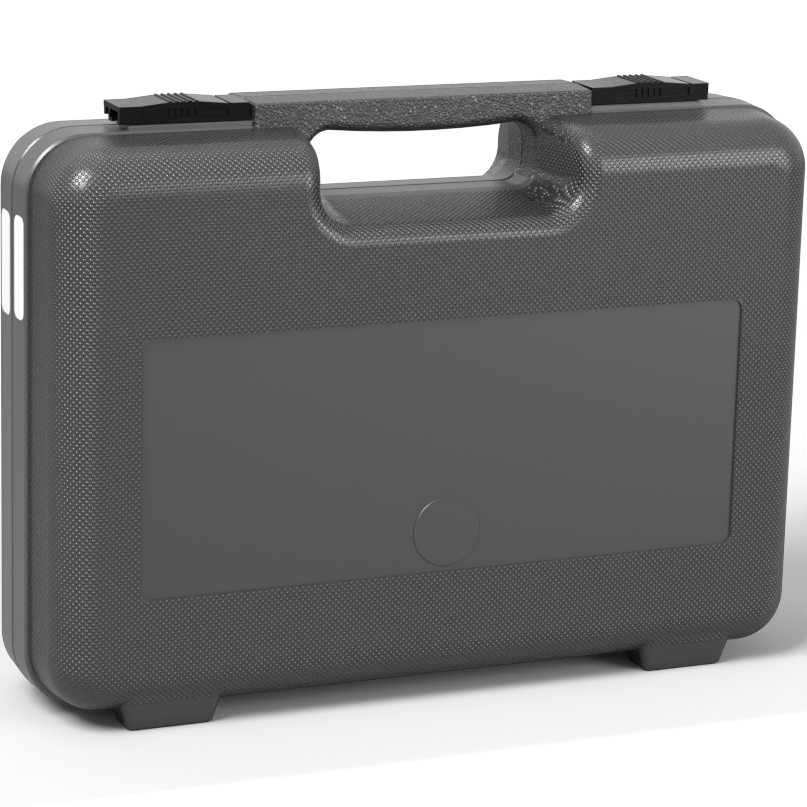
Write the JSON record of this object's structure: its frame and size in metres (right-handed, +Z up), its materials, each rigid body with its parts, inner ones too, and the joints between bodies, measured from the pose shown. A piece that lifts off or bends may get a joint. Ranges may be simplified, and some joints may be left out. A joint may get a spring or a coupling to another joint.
{
  "type": "microphone case",
  "caption": "Hard moulded carrying case for a studio microphone: hinged lid, slide latches, moulded handle and feet, with die-cut foam inside.",
  "frame": {"origin": "middle of the case at the level of the soles of its feet, on the plane where lid and base meet", "axes": "X across the case, Y from the lid in front to the base behind, Z up through the handle"},
  "size_m": [0.391, 0.1086, 0.2869],
  "materials": {
    "moulded_plastic": "dark grey blow-moulded polyethylene, dotted grain on the faces, leather grain on the handle, smooth flanges",
    "latch_plastic": "glossy black injection-moulded plastic",
    "pin_steel": "plain drawn steel wire",
    "die_cut_foam": "open-cell charcoal foam, die-cut",
    "lid_foam": "open-cell charcoal foam, cut in an egg-crate form"
  },
  "bodies": {
    "base": {"base_shell": "moulded_plastic", "foam_tray": "die_cut_foam", "foam_floor": "die_cut_foam", "hinge_pin_left": "pin_steel", "hinge_pin_right": "pin_steel"},
    "lid": {"lid_shell": "moulded_plastic", "lid_pad": "lid_foam"},
    "latch_left": {"slide_latch_left": "latch_plastic"},
    "latch_right": {"slide_latch_right": "latch_plastic"}
  },
  "joints": [
    {"name": "lid_hinge", "type": "hinge", "parent": "base", "child": "lid", "pos_m": [0, 0, 0.004], "axis": [1, 0, 0], "range_deg": [0, 150]},
    {"name": "latch_left_slide", "type": "slide", "parent": "lid", "child": "latch_left", "axis": [-1, 0, 0], "range_m": [0, 0.01]},
    {"name": "latch_right_slide", "type": "slide", "parent": "lid", "child": "latch_right", "axis": [1, 0, 0], "range_m": [0, 0.01]}
  ]
}
